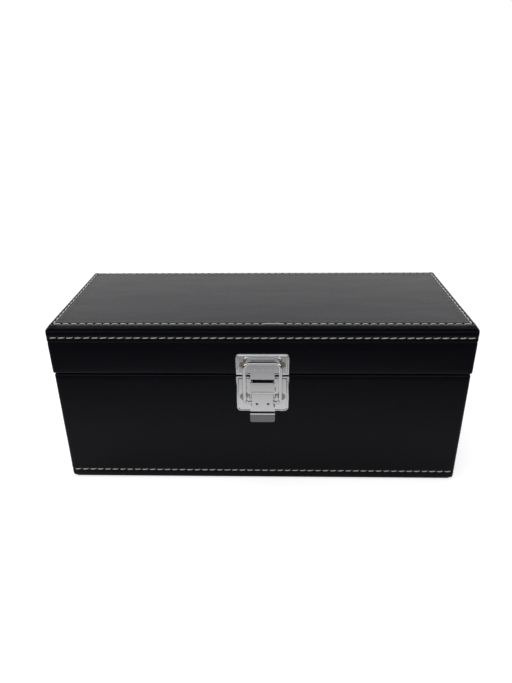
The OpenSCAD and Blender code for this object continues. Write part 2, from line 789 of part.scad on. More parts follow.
base_bottom_board();
base_long_board(-1);  // base_front_board
base_long_board(1);  // base_back_board
base_end_board(-1);  // base_left_board
base_end_board(1);  // base_right_board
base_cover();
base_sole();
base_lining();
floor_pad();
rack_strip(-1);  // rack_strip_front
rack_strip(1);  // rack_strip_back
dividers(-1);  // dividers_front
dividers(1);  // dividers_back
hinge_base_leaf(-1);  // hinge_base_leaf_left
hinge_base_leaf(1);  // hinge_base_leaf_right
hinge_pin(-1);  // hinge_pin_left
hinge_pin(1);  // hinge_pin_right
leaf_screws(-1);  // hinge_base_screws
latch_plate();
latch_bracket();
latch_pivot_pin();
latch_plate_screws();
lid_top_board();
lid_long_board(-1);  // lid_front_board
lid_long_board(1);  // lid_back_board
lid_end_board(-1);  // lid_left_board
lid_end_board(1);  // lid_right_board
lid_band();
lid_top_cover();
lid_lining();
lid_pad();
hinge_lid_leaf(-1);  // hinge_lid_leaf_left
hinge_lid_leaf(1);  // hinge_lid_leaf_right
leaf_screws(1);  // hinge_lid_screws
keeper_plate();
keeper_hook();
keeper_screws();
latch_lever();
bail_pin();
latch_bail();
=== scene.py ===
"""Dresses the coin display case: leatherette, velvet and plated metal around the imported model."""

import math

import bmesh
import bpy
from mathutils import Matrix, Vector, noise


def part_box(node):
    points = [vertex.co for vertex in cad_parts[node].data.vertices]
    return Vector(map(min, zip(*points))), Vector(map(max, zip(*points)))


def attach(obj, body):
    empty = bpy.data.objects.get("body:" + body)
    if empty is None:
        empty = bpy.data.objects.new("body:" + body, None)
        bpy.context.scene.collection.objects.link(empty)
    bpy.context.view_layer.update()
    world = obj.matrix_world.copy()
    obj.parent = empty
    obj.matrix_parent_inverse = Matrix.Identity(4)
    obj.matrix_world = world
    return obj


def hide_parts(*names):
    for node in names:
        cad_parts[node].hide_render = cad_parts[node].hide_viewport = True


bl_info = {
    "name": "Coin Display Case",
    "version": (1, 0, 0),
    "blender": (4, 5, 0),
    "location": "View3D > Sidebar > Coin Case",
    "description": "Builds the leatherette, stitching, velvet and metal of a coin display case",
    "category": "Object",
}

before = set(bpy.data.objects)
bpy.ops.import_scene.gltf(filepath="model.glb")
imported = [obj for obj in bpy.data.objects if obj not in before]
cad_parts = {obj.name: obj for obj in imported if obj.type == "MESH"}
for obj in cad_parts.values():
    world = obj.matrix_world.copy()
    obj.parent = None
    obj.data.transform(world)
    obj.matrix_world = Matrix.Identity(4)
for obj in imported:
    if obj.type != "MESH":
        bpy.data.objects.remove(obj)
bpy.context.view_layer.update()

MM = 0.001
SAME = 1e-6  # metres, within which two places are one
X, Y, Z = Vector((1, 0, 0)), Vector((0, 1, 0)), Vector((0, 0, 1))


def linear(code):
    """An sRGB hex colour as linear red, green, blue and alpha."""
    shades = [int(code[i : i + 2], 16) / 255 for i in (1, 3, 5)]
    return (*[s / 12.92 if s <= 0.04045 else ((s + 0.055) / 1.055) ** 2.4 for s in shades], 1.0)


def length(name, description, default):
    """A length property, given in millimetres and held in metres."""
    return bpy.props.FloatProperty(
        name=name,
        description=description,
        default=default * MM,
        precision=5,
        subtype="DISTANCE",
        unit="LENGTH",
    )


def colour(name, description, code):
    """A colour property whose default is an sRGB hex value."""
    return bpy.props.FloatVectorProperty(
        name=name, description=description, default=linear(code), size=4, min=0, max=1, subtype="COLOR"
    )


def power(name, description, default):
    """A lamp's power, in watts."""
    return bpy.props.FloatProperty(name=name, description=description, default=default, unit="POWER")


class CaseLeatherProps(bpy.types.PropertyGroup):
    """Sizes of the leatherette and its stitching"""

    thickness: length("Thickness", "Thickness of the leatherette", 0.8)
    corner: length("Corner", "Rounding of the upright corners", 1.7)
    rim: length("Rim", "Rounding where the leatherette turns over a rim", 1.25)
    top: length("Top", "Rounding of the lid's top edges", 1.5)
    card_edge: length("Card edge", "Rounding of the covered card's edges", 0.4)
    rim_width: length("Rim width", "Width of the leatherette turned over a rim", 4.8)
    base_crown: length("Base crown", "How far the padding swells the base's sides", 0.45)
    lid_crown: length("Lid crown", "How far the padding swells the lid's sides", 0.25)
    turn_in: length("Turn-in", "Width of the leatherette turned in under the base", 12)
    skirt_row: length("Skirt row", "Distance from the lid's top down to the stitches on its sides", 5.5)
    base_row: length("Base row", "Height of the base's row of stitches", 6.4)
    top_front: length("Top row, front", "Distance from the lid's front edge to the row on its top", 7.3)
    top_side: length("Top row, ends", "Distance from the lid's ends to the row on its top", 2.8)
    top_back: length("Top row, back", "Distance from the lid's back edge to the row on its top", 2.6)


class CaseStitchProps(bpy.types.PropertyGroup):
    """Sizes of the thread and of the channel that it pulls into the leatherette"""

    pitch: length("Pitch", "Distance from one stitch to the next", 4.8)
    stitch: length("Stitch", "Length of a stitch that shows", 4.35)
    thread: length("Thread", "Thickness of the thread", 0.64)
    channel: length("Channel depth", "Depth of the channel under the thread", 0.34)
    half_width: length("Channel width", "Half the width of that channel", 0.85)
    swell: length("Swell", "Height of the swell beside the channel", 0.13)
    wander: length("Wander", "Unevenness of the leatherette", 0.07)


class CaseMetalProps(bpy.types.PropertyGroup):
    """Sizes of the latch and hinge details"""

    edge: length("Edge", "Rounding of sheet metal edges", 0.14)
    plate_corner: length("Plate corner", "Radius of the latch plates' round corners", 2.6)
    plate_edge: length("Plate edge", "Rounding of the latch plates' edges", 0.5)
    plate_rim: length("Plate rim", "Width of the latch plates' raised rim", 0.7)
    dish: length("Dish", "Depth of the plates' face below their rim", 0.2)
    seat: length("Seat", "Radius of a countersunk screw's seat", 2.3)
    hole: length("Hole", "Radius of a screw's hole", 1.05)
    seat_depth: length("Seat depth", "Depth of a countersunk seat", 0.8)


class CaseVelvetProps(bpy.types.PropertyGroup):
    """Sizes of the velvet and what it covers"""

    lining: length("Lining", "Thickness of the lining", 0.8)
    lining_bend: length("Lining bend", "Rounding inside the lining's corners", 1.2)
    pad_edge: length("Pad edge", "Rounding of the pads' edges", 1.1)
    crown: length("Crown", "How much lower a pad's edge is than its middle", 0.6)
    divider: length("Divider", "Thickness of a divider", 2.6)
    divider_edge: length("Divider edge", "Rounding of the dividers", 0.9)
    holders: bpy.props.IntProperty(
        name="Holders", description="Number of coin holders that the rack takes", default=20
    )


class CaseColourProps(bpy.types.PropertyGroup):
    """Colours of the case"""

    leather: colour("Leatherette", "Body colour of the leatherette", "#05060c")
    thread: colour("Thread", "Colour of the stitching", "#d3d1c8")
    chrome: colour("Chrome", "Reflected colour of the plated latch", "#fafafc")
    steel: colour("Steel", "Reflected colour of the pins", "#b4b2ae")
    screw: colour("Screw", "Reflected colour of the screws", "#b9afa1")
    velvet: colour("Velvet", "Pile colour of the velvet", "#0b0b0e")
    board: colour("Board", "Colour of the fibreboard", "#8b6f4e")


class CaseStageProps(bpy.types.PropertyGroup):
    """Camera and light"""

    # the far colour is painted shade: the floor is painted darker further out, standing in for the lamps'
    # falloff that the case reflects
    floor_near: colour("Floor, near", "Colour of the floor round the case", "#cfcfcf")
    floor_far_painted_shade: colour("Floor, far", "Colour of the floor further out", "#545454")
    lens: bpy.props.FloatProperty(
        name="Lens",
        description="Focal length on a 36 mm sensor",
        default=28.92,
        subtype="DISTANCE_CAMERA",
        unit="CAMERA",
    )
    place: bpy.props.FloatVectorProperty(
        name="Place",
        description="Where the camera stands",
        default=(0.00631, -0.32795, 0.23152),
        subtype="TRANSLATION",
    )
    turn: bpy.props.FloatVectorProperty(
        name="Turn",
        description="How the camera is turned",
        default=[math.radians(angle) for angle in (64.296, 0.641, 1.473)],
        subtype="EULER",
        unit="ROTATION",
    )
    above: power("Above", "Power of the lamp above", 7.0)
    beside: power("Beside", "Power of the lamp in front", 2.0)
    behind: power("Behind", "Power of the lamp behind", 0.5)
    ambient: bpy.props.FloatProperty(
        name="Ambient", description="Strength of the room's own light", default=0.3
    )


# Materials


def node(tree, kind, inputs=None, **settings):
    """Adds a shader node. inputs gives each socket a value, or the output that feeds it."""
    made = tree.nodes.new("ShaderNode" + kind)
    for name, value in settings.items():
        setattr(made, name, value)
    for socket, value in (inputs or {}).items():
        if isinstance(value, bpy.types.NodeSocket):
            tree.links.new(value, made.inputs[socket])
        else:
            made.inputs[socket].default_value = value
    return made


def start_material(name):
    """A material with an empty node tree, and the tree."""
    made = bpy.data.materials.new(name)
    made.use_nodes = True
    made.node_tree.nodes.clear()
    return made, made.node_tree


def finish_material(tree, inputs):
    """Adds the Principled shader with those sockets, and the output."""
    shader = node(tree, "BsdfPrincipled", inputs)
    node(tree, "OutputMaterial", {"Surface": shader.outputs["BSDF"]})


def pattern_place(tree, stretch=(1, 1, 1)):
    """Object coordinates in metres, scaled along each axis."""
    place = node(tree, "TexCoord").outputs["Object"]
    return node(tree, "Mapping", {"Vector": place, "Scale": stretch}).outputs["Vector"]


def tinted(tree, body, fac, low, high):
    """The body colour, made darker and lighter by a pattern."""
    tint = node(tree, "MapRange", {"Value": fac, "To Min": low, "To Max": high})
    colours = {6: tuple(body), 7: tint.outputs[0], "Factor": 1.0}
    return node(tree, "Mix", colours, data_type="RGBA", blend_type="MULTIPLY").outputs[2]


def leatherette():
    """Polyurethane leatherette, cast and embossed: near black, satin, its fine grain drawn out lengthwise."""
    made, tree = start_material("polyurethane_leatherette")
    # grain 0.5 mm across and four times as long, drawn coarser than the real 0.2 mm so that it shows
    along = pattern_place(tree, (0.25, 1, 1))
    grain = node(tree, "TexNoise", {"Vector": along, "Scale": 1900, "Detail": 3, "Roughness": 0.6})
    # soft unevenness of the foam under the skin, about 10 by 30 mm
    sway = node(tree, "TexNoise", {"Vector": pattern_place(tree, (0.35, 1, 1)), "Scale": 95, "Detail": 2})
    bump = node(tree, "Bump", {"Height": grain.outputs["Fac"], "Strength": 0.25, "Distance": 0.00006})
    uneven = {"Height": sway.outputs["Fac"], "Strength": 0.28, "Distance": 0.0004}
    wave = node(tree, "Bump", {**uneven, "Normal": bump.outputs[0]})
    rough = node(tree, "MapRange", {"Value": sway.outputs["Fac"], "To Min": 0.23, "To Max": 0.31})
    body = bpy.context.scene.case_colours.leather
    finish_material(
        tree,
        {
            "Base Color": tinted(tree, body, grain.outputs["Fac"], 0.8, 1.25),
            "Roughness": rough.outputs[0],
            "IOR": 1.28,
            "Specular Tint": linear("#f4f4ff"),
            "Normal": wave.outputs[0],
        },
    )
    return made


def thread_material():
    """Bonded polyester thread, two plies twisted: off-white, with a soft gloss."""
    made, tree = start_material("bonded_polyester_thread")
    place = pattern_place(tree)
    # bands of twist 2 mm long, drawn coarser than the real 1 mm so that they show, and soil in patches of 4 mm
    bands = {"Vector": place, "Scale": 320, "Distortion": 1.5}
    twist = node(tree, "TexWave", bands, bands_direction="DIAGONAL")
    soil = node(tree, "TexNoise", {"Vector": place, "Scale": 260, "Detail": 1})
    bump = node(tree, "Bump", {"Height": twist.outputs["Fac"], "Strength": 0.5, "Distance": 0.00012})
    body = bpy.context.scene.case_colours.thread
    finish_material(
        tree,
        {
            "Base Color": tinted(tree, body, soil.outputs["Fac"], 0.72, 1.08),
            "Roughness": 0.6,
            "Normal": bump.outputs[0],
        },
    )
    return made


def metal(name, body, roughness, wave_strength):
    """Metal that is a mirror broken by the waves of its pressing and by fine handling marks."""
    made, tree = start_material(name)
    # pressing waves about 4 mm long, and marks about 0.4 mm, coarser than the real ones so that they show
    wave = node(tree, "TexNoise", {"Vector": pattern_place(tree), "Scale": 240, "Detail": 1})
    mark = node(tree, "TexNoise", {"Vector": pattern_place(tree, (1, 1, 0.3)), "Scale": 2600, "Detail": 2})
    rough = node(
        tree, "MapRange", {"Value": mark.outputs["Fac"], "To Min": roughness * 0.7, "To Max": roughness * 1.4}
    )
    bump = node(tree, "Bump", {"Height": wave.outputs["Fac"], "Strength": wave_strength, "Distance": 0.00008})
    finish_material(
        tree,
        {
            "Base Color": tinted(tree, body, mark.outputs["Fac"], 0.94, 1.0),
            "Metallic": 1.0,
            "Roughness": rough.outputs[0],
            "Normal": bump.outputs[0],
        },
    )
    return made


def chrome():
    """Bright chrome plate on pressed steel: a near mirror, slightly waved by the pressing."""
    return metal("chrome_plated_steel", bpy.context.scene.case_colours.chrome, 0.06, 0.15)


def pin_steel():
    """Nickel-plated steel wire, drawn and cut: warmer and duller than chrome."""
    return metal("nickel_plated_wire", bpy.context.scene.case_colours.steel, 0.22, 0.3)


def screw_metal():
    """Antique-nickel screws, rolled and tumbled: brownish, with soft highlights."""
    return metal("antique_nickel_screw", bpy.context.scene.case_colours.screw, 0.26, 0.4)


def velvet():
    """Flocked velvet: a short black nylon pile that lightens at grazing angles, with brushed patches."""
    made, tree = start_material("flocked_nylon_velvet")
    # tufts 0.5 mm across, drawn coarser than the real 0.1 mm so that they show, and brushed patches of 12 mm
    pile = node(tree, "TexNoise", {"Vector": pattern_place(tree), "Scale": 2000, "Detail": 2})
    brushed = node(tree, "TexNoise", {"Vector": pattern_place(tree), "Scale": 80, "Detail": 2})
    bump = node(tree, "Bump", {"Height": pile.outputs["Fac"], "Strength": 0.7, "Distance": 0.0003})
    body = bpy.context.scene.case_colours.velvet
    finish_material(
        tree,
        {
            "Base Color": tinted(tree, body, brushed.outputs["Fac"], 0.7, 1.6),
            "Roughness": 0.95,
            "Sheen Weight": 0.35,
            "Sheen Roughness": 0.35,
            "Normal": bump.outputs[0],
        },
    )
    return made


def fibreboard():
    """Medium density fibreboard: pressed brown wood fibres, matt."""
    made, tree = start_material("medium_density_fibreboard")
    # fibres about 0.7 mm thick and three times as long, coarser than the real ones so that they show
    fibre = node(tree, "TexNoise", {"Vector": pattern_place(tree, (0.3, 1, 1)), "Scale": 1400, "Detail": 4})
    bump = node(tree, "Bump", {"Height": fibre.outputs["Fac"], "Strength": 0.3, "Distance": 0.0001})
    body = bpy.context.scene.case_colours.board
    finish_material(
        tree,
        {
            "Base Color": tinted(tree, body, fibre.outputs["Fac"], 0.7, 1.2),
            "Roughness": 0.85,
            "Normal": bump.outputs[0],
        },
    )
    return made


FINISHES = {
    "leatherette": leatherette,
    "thread": thread_material,
    "chrome": chrome,
    "pin_steel": pin_steel,
    "screw_steel": screw_metal,
    "velvet": velvet,
    "board": fibreboard,
}
made_finishes = {}


def finish(name):
    """The material of that finish, made once."""
    if name not in made_finishes:
        made_finishes[name] = FINISHES[name]()
    return made_finishes[name]


# Shapes


def add_piece(name, bm, body, finish_name, replaced=()):
    """Makes the mesh an object that rides on a body and stands for the replaced CAD nodes."""
    mesh = bpy.data.meshes.new(name)
    bm.to_mesh(mesh)
    bm.free()
    mesh.shade_smooth()
    mesh.materials.append(finish(finish_name))
    made = bpy.data.objects.new(name, mesh)
    bpy.context.scene.collection.objects.link(made)
    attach(made, body)
    if replaced:
        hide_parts(*replaced)
    return made


def round_edges(bm, edges, radius, segments):
    """Bevels the edges to a radius."""
    bmesh.ops.bevel(
        bm, geom=list(edges), offset=radius, segments=segments, profile=0.5, affect="EDGES", material=-1
    )


def round_corners(bm, verts, radius, segments):
    """Rounds the corners of a flat face."""
    bmesh.ops.bevel(
        bm, geom=list(verts), offset=radius, segments=segments, profile=0.5, affect="VERTICES", material=-1
    )


def cut_across(bm, axis, places):
    """Cuts the mesh across an axis at each place."""
    for place in places:
        everything = bm.verts[:] + bm.edges[:] + bm.faces[:]
        bmesh.ops.bisect_plane(bm, geom=everything, dist=1e-7, plane_co=axis * place, plane_no=axis)


def box_mesh(low, high):
    """A box between two corners."""
    bm = bmesh.new()
    bmesh.ops.create_cube(bm, size=1)
    bmesh.ops.scale(bm, vec=Vector(high) - Vector(low), verts=bm.verts)
    bmesh.ops.translate(bm, vec=(Vector(high) + Vector(low)) / 2, verts=bm.verts)
    return bm


def flat_face(half_x, half_y, height, cells_x=1, cells_y=1):
    """A flat rectangle facing up, made of cells."""
    bm = bmesh.new()
    bmesh.ops.create_grid(bm, x_segments=cells_x, y_segments=cells_y, size=1)
    bmesh.ops.scale(bm, vec=(half_x, half_y, 1), verts=bm.verts)
    bmesh.ops.translate(bm, vec=Z * height, verts=bm.verts)
    return bm


def even_steps(start, end, step):
    """Places from start to end, evenly spaced and at most a step apart, without the start."""
    count = max(1, math.ceil(abs(end - start) / step - 1e-9))
    return [start + (end - start) * i / count for i in range(1, count + 1)]


def clamp_to(point, half_x, half_y):
    """The nearest point of an upright rectangle about the Z axis."""
    return Vector((max(-half_x, min(half_x, point.x)), max(-half_y, min(half_y, point.y)), point.z))


def extrude_ring(bm, edges, place):
    """Extrudes a loop of edges, puts each new vertex where place says, and returns the new loop."""
    made = bmesh.ops.extrude_edge_only(bm, edges=edges)["geom"]
    verts = {part for part in made if isinstance(part, bmesh.types.BMVert)}
    for v in verts:
        v.co = place(v.co)
    return [part for part in made if isinstance(part, bmesh.types.BMEdge) and set(part.verts) <= verts]


def wrap_down(bm, edges, half_x, half_y, radius, profile):
    """Extrudes a loop round the outside of a box. profile holds (distance in from the side, height) pairs."""
    core_x, core_y = half_x - radius, half_y - radius
    for inset, height in profile:

        def place(point):
            core = clamp_to(point, core_x, core_y)
            spot = core + (point - core).normalized() * (radius - inset)
            return Vector((spot.x, spot.y, height))

        edges = extrude_ring(bm, edges, place)
    return edges


def turn_in(bm, edges, half_x, half_y):
    """Extrudes a loop flat inwards to a rectangle."""
    return extrude_ring(bm, edges, lambda point: clamp_to(point, half_x, half_y))


def quarter_round(radius, height, toward, steps=4):
    """(distance in, height) pairs of a quarter round that starts flat at the height and ends upright."""
    turns = [math.pi / 2 * i / steps for i in range(1, steps + 1)]
    return [(radius * (1 - math.sin(t)), height + toward * radius * (1 - math.cos(t))) for t in turns]


def settle(bm):
    """Merges doubles and points every face outwards."""
    bmesh.ops.remove_doubles(bm, verts=bm.verts, dist=SAME)
    bmesh.ops.recalc_face_normals(bm, faces=bm.faces)


def give_wall(piece, thickness):
    """Gives a shell its thickness, on the inside."""
    wall = piece.modifiers.new("wall", "SOLIDIFY")
    wall.thickness = thickness
    wall.offset = -1
    wall.use_even_offset = True


def finish_metal(piece, width, segments=2):
    """Softens a metal piece's edges as tumbling and plating do."""
    edge = piece.modifiers.new("edge", "BEVEL")
    edge.width = width
    edge.segments = segments
    edge.limit_method = "ANGLE"
    edge.angle_limit = math.radians(35)
    edge.use_clamp_overlap = True
    shade = piece.modifiers.new("shade", "WEIGHTED_NORMAL")
    shade.keep_sharp = True


def metal_copy(name, node_name, body, finish_name, width, segments=2):
    """A copy of a metal CAD node with softened edges."""
    bm = bmesh.new()
    bm.from_mesh(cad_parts[node_name].data)
    bmesh.ops.remove_doubles(bm, verts=bm.verts, dist=SAME)
    bmesh.ops.dissolve_limit(bm, angle_limit=math.radians(1), verts=bm.verts, edges=bm.edges)
    made = add_piece(name, bm, body, finish_name, [node_name])
    finish_metal(made, width, segments)
    return made


# Stitching


class Row:
    """A straight row of stitches: its middle, its direction, the way out of the leatherette, its length."""

    def __init__(self, middle, along, out, run):
        self.middle, self.along, self.out = Vector(middle), Vector(along), Vector(out)
        self.across = self.out.cross(self.along)
        self.run = run
        self.count = 2 * round(run / bpy.context.scene.case_stitch.pitch / 2)
        self.pitch = run / self.count

    def push(self, point, normal, stitch):
        """How far the thread pulls the leatherette in, below zero, or swells it, above zero, at a point."""
        if normal.dot(self.out) < 0.6:
            return 0.0
        away = point - self.middle
        along = away.dot(self.along)
        across = math.hypot(away.dot(self.across), max(0.0, abs(along) - self.run / 2))
        hole = 0.5 + 0.5 * math.cos(2 * math.pi * along / self.pitch)
        channel = stitch.channel * math.exp(-((across / stitch.half_width) ** 2)) * (0.45 + 0.55 * hole)
        beside = (across / stitch.half_width - 2.1) / 1.1
        return stitch.swell * math.exp(-(beside**2)) * (1 - 0.5 * hole) - channel

    def places(self):
        """The middle of each stitch."""
        return [self.middle + self.along * self.pitch * (i + 0.5 - self.count / 2) for i in range(self.count)]


def side_rows(half_x, half_y, height, corner):
    """The four rows of stitches round the sides of a box, at a height."""
    flat_x, flat_y = 2 * (half_x - corner), 2 * (half_y - corner)
    return [
        Row((0, -half_y, height), X, -Y, flat_x),
        Row((0, half_y, height), -X, Y, flat_x),
        Row((half_x, 0, height), Y, X, flat_y),
        Row((-half_x, 0, height), -Y, -X, flat_y),
    ]


def top_rows(half_x, half_y, height, leather):
    """The four rows of stitches on the lid's top."""
    front, back, end = leather.top_front - half_y, half_y - leather.top_back, half_x - leather.top_side
    middle = (front + back) / 2
    return [
        Row((0, front, height), X, Z, 2 * end),
        Row((0, back, height), -X, Z, 2 * end),
        Row((end, middle, height), Y, Z, back - front),
        Row((-end, middle, height), -Y, Z, back - front),
    ]


def press_rows(bm, rows, stitch):
    """Pulls the leatherette in under its stitches, swells it beside them, and leaves it slightly uneven."""
    bm.normal_update()
    for v in bm.verts:
        uneven = noise.noise(Vector((v.co.x * 25, v.co.y * 55, v.co.z * 55))) * stitch.wander
        v.co += v.normal * (sum(row.push(v.co, v.normal, stitch) for row in rows) + uneven)


def sew(bm, spot, along, across, out, stitch, tilt):
    """One stitch: a plump thread between two holes, its ends diving into the leatherette."""
    chance = noise.noise_vector(spot * 900)
    turn = Matrix.Rotation(tilt + chance.x * math.radians(3), 4, "Z")
    axes = Matrix((along, across, out)).transposed().to_4x4()
    half = stitch.stitch / 2 * (1 + 0.08 * chance.y)
    size = Matrix.Diagonal((half, stitch.thread / 2 * 1.1, stitch.thread / 2, 1))
    pole = Matrix.Rotation(math.pi / 2, 4, "Y")
    place = Matrix.Translation(spot + out * stitch.thread * 0.12) @ axes @ turn
    made = bmesh.ops.create_uvsphere(bm, u_segments=8, v_segments=6, radius=1, matrix=place @ size @ pole)
    for v in made["verts"]:
        reach = (v.co - spot).dot(along) / half
        v.co -= out * stitch.thread * 0.75 * abs(reach) ** 4


def sew_rows(rows, tilt):
    """The stitches of several rows, as one mesh."""
    stitch = bpy.context.scene.case_stitch
    bm = bmesh.new()
    for row in rows:
        for spot in row.places():
            sew(bm, spot, row.along, row.across, row.out, stitch, tilt)
    return bm


# Pieces


def swell_sides(bm, half_x, half_y, low, high, crown):
    """Swells the upright sides between two heights, as the padding under the leatherette does."""
    middle, half = (low + high) / 2, (high - low) / 2
    bm.normal_update()
    for v in bm.verts:
        rise = 1 - ((v.co.z - middle) / half) ** 2
        if abs(v.normal.z) > 0.9 or rise <= 0:
            continue
        for axis, along, reach in ((X, v.co.y, half_y), (Y, v.co.x, half_x)):
            facing = v.normal.dot(axis)
            if abs(facing) > 0.9:
                v.co += axis * facing * crown * rise * (1 - (along / reach) ** 8)


def roll_off(bm, half_x, half_y, top, leather):
    """Lets the padded top fall away outside its stitches, and its upper edge with it."""
    clear, depth, fall = 1.2 * MM, 3 * MM, 0.16
    for v in bm.verts:
        back_row = leather.top_front if v.co.y < 0 else leather.top_back
        spans = (leather.top_side, abs(v.co.x) - half_x), (back_row, abs(v.co.y) - half_y)
        drops = [max(0.0, row + out - clear) ** 1.5 / (row - clear) ** 0.5 for row, out in spans]
        v.co.z -= fall * max(drops) * max(0.0, 1 - (top - v.co.z) / depth)


def near_row(height, half_width, reach):
    """Heights close together across a row of stitches, as far as reach times its channel's half width."""
    steps = [k for k in (3, 2.3, 1.7, 1.2, 0.8, 0.4) if k <= reach]
    return [height + half_width * k for k in (*steps, 0, *(-k for k in reversed(steps)))]


def cover_loop(half_x, half_y, radius, height):
    """A loop of edges with round corners, and a vertex at every quarter of a stitch."""
    pitch = bpy.context.scene.case_stitch.pitch
    bm = flat_face(half_x, half_y, height)
    round_corners(bm, bm.verts[:], radius, 4)
    bmesh.ops.delete(bm, geom=bm.faces[:], context="FACES_ONLY")
    for axis, half in ((X, half_x), (Y, half_y)):
        straight = [
            e for e in bm.edges if abs((e.verts[0].co - e.verts[1].co).dot(axis)) > 2 * (half - radius) - SAME
        ]
        quarters = 8 * round((half - radius) / pitch)
        bmesh.ops.subdivide_edges(bm, edges=straight, cuts=quarters - 1)
    return bm


def base_cover():
    """The leatherette round the base, turned over its rim and in under the bottom."""
    scene = bpy.context.scene
    leather, stitch = scene.case_leather, scene.case_stitch
    low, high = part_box("base_cover")
    rim = leather.rim
    bm = cover_loop(high.x - rim, high.y - rim, leather.corner - rim, high.z)
    edges = bm.edges[:]
    turn_in(bm, edges, high.x - leather.rim_width, high.y - leather.rim_width)
    row = near_row(leather.base_row, stitch.half_width, 3)
    heights = even_steps(high.z - rim, row[0], 3 * MM) + row[1:]
    foot = quarter_round(rim, low.z, 1)[::-1]
    profile = quarter_round(rim, high.z, -1) + [(0, h) for h in heights if h > low.z + rim]
    profile += foot + [(rim, low.z)]
    edges = wrap_down(bm, edges, high.x, high.y, leather.corner, profile)
    turn_in(bm, edges, high.x - leather.turn_in, high.y - leather.turn_in)
    settle(bm)
    swell_sides(bm, high.x, high.y, low.z, high.z, leather.base_crown)
    press_rows(bm, side_rows(high.x, high.y, leather.base_row, leather.corner), stitch)
    give_wall(add_piece("base_leatherette", bm, "base", "leatherette", ["base_cover"]), leather.thickness)


def lid_band():
    """The leatherette round the lid, turned over its rim and tucked under the top's skirt."""
    scene = bpy.context.scene
    leather, stitch = scene.case_leather, scene.case_stitch
    low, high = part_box("lid_band")
    rim, tuck = leather.rim, 0.4 * leather.thickness
    bm = cover_loop(high.x - rim, high.y - rim, leather.corner - rim, low.z)
    edges = bm.edges[:]
    turn_in(bm, edges, high.x - leather.rim_width, high.y - leather.rim_width)
    profile = quarter_round(rim, low.z, 1)
    profile += [(0, h) for h in even_steps(low.z + rim, high.z - 2 * MM, 2.5 * MM)]
    profile += [(tuck * k * k, high.z - 2 * MM * (1 - k)) for k in (0.25, 0.5, 0.75, 1)]
    wrap_down(bm, edges, high.x, high.y, leather.corner, profile)
    settle(bm)
    swell_sides(bm, high.x, high.y, low.z, high.z, leather.lid_crown)
    row_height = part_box("lid_top_cover")[1].z - leather.skirt_row
    press_rows(bm, side_rows(high.x, high.y, row_height, leather.corner), stitch)
    give_wall(add_piece("lid_leatherette", bm, "lid", "leatherette", ["lid_band"]), leather.thickness)


def lid_top():
    """The padded leatherette over the lid's top, with its stitched skirt."""
    scene = bpy.context.scene
    leather, stitch = scene.case_leather, scene.case_stitch
    low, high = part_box("lid_top_cover")
    half_x, half_y, top = high.x - leather.top, high.y - leather.top, leather.top
    cell = stitch.pitch / 4
    bm = flat_face(half_x, half_y, high.z, round(2 * half_x / cell), round(2 * half_y / cell))
    corners = [v for v in bm.verts if abs(v.co.x) > half_x - SAME and abs(v.co.y) > half_y - SAME]
    round_corners(bm, corners, leather.corner - top, 4)
    rows = top_rows(high.x, high.y, high.z, leather)
    for row in rows:
        axis = Vector([abs(part) for part in row.across])
        cut_across(bm, axis, near_row(row.middle.dot(axis), stitch.half_width, 1.7)[::-1])
    row_height = high.z - leather.skirt_row
    row = near_row(row_height, stitch.half_width, 3)
    heights = even_steps(high.z - top, row[0], 0.8 * MM)[:-1] + row
    lip = 0.35 * MM
    profile = quarter_round(top, high.z, -1, 5) + [(0, h) for h in heights if h > low.z + lip]
    profile += [(lip * (1 - math.cos(t)), low.z + lip * (1 - math.sin(t))) for t in (0, 0.5, 1.0, 1.57)]
    edges = [e for e in bm.edges if e.is_boundary]
    wrap_down(bm, edges, high.x, high.y, leather.corner, profile)
    settle(bm)
    rows += side_rows(high.x, high.y, row_height, leather.corner)
    press_rows(bm, rows, stitch)
    roll_off(bm, high.x, high.y, high.z, leather)
    piece = add_piece("lid_top_leatherette", bm, "lid", "leatherette", ["lid_top_cover"])
    give_wall(piece, leather.thickness)


def slab(node_name, corner, edge):
    """A flat card with round corners and edges, in the place of a node."""
    low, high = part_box(node_name)
    bm = box_mesh(low, high)
    round_edges(bm, [e for e in bm.edges if abs((e.verts[0].co - e.verts[1].co).z) > SAME], corner, 4)
    flat = [e for e in bm.edges if abs((e.verts[0].co - e.verts[1].co).z) < SAME]
    round_edges(bm, flat, edge, 3)
    return bm


def sole():
    """The leatherette-covered card under the base."""
    leather = bpy.context.scene.case_leather
    card = slab("base_sole", leather.corner, leather.card_edge)
    add_piece("sole", card, "base", "leatherette", ["base_sole"])


def soft_block(node_name, edge, crown, open_sides):
    """A padded block in the place of a node: round edges, and faces that fall away towards them."""
    low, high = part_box(node_name)
    size, middle = high - low, (low + high) / 2
    bm = box_mesh(low, high)
    round_edges(bm, bm.edges[:], edge, 3)
    for k, axis in enumerate((X, Y, Z)):
        cells = max(1, round(size[k] / (6 * MM)))
        steps = [low[k] + edge + (size[k] - 2 * edge) * i / cells for i in range(1, cells)]
        cut_across(bm, axis, steps)
    for v in bm.verts:
        near = [1 - abs(v.co[k] - middle[k]) / (size[k] / 2) for k in range(3)]
        rise = [min(1.0, n * size[k] / 2 / (9 * MM)) for k, n in enumerate(near)]
        swell = [r * (2 - r) for r in rise]
        for k, side in open_sides:
            outer = (v.co[k] - middle[k]) * side
            if outer > 0:
                others = [swell[j] for j in range(3) if j != k]
                fall = crown * (1 - others[0] * others[1]) * (outer / (size[k] / 2)) ** 2
                uneven = noise.noise(v.co * 60) * crown * 0.15
                v.co[k] -= side * (fall + abs(uneven))
    return bm


def pads():
    """The velvet pads on the floor and inside the lid."""
    soft = bpy.context.scene.case_velvet
    floor = soft_block("floor_pad", soft.pad_edge, soft.crown, [(2, 1)])
    add_piece("floor_velvet_pad", floor, "base", "velvet", ["floor_pad"])
    lid = soft_block("lid_pad", soft.pad_edge, soft.crown, [(2, -1)])
    add_piece("lid_velvet_pad", lid, "lid", "velvet", ["lid_pad"])


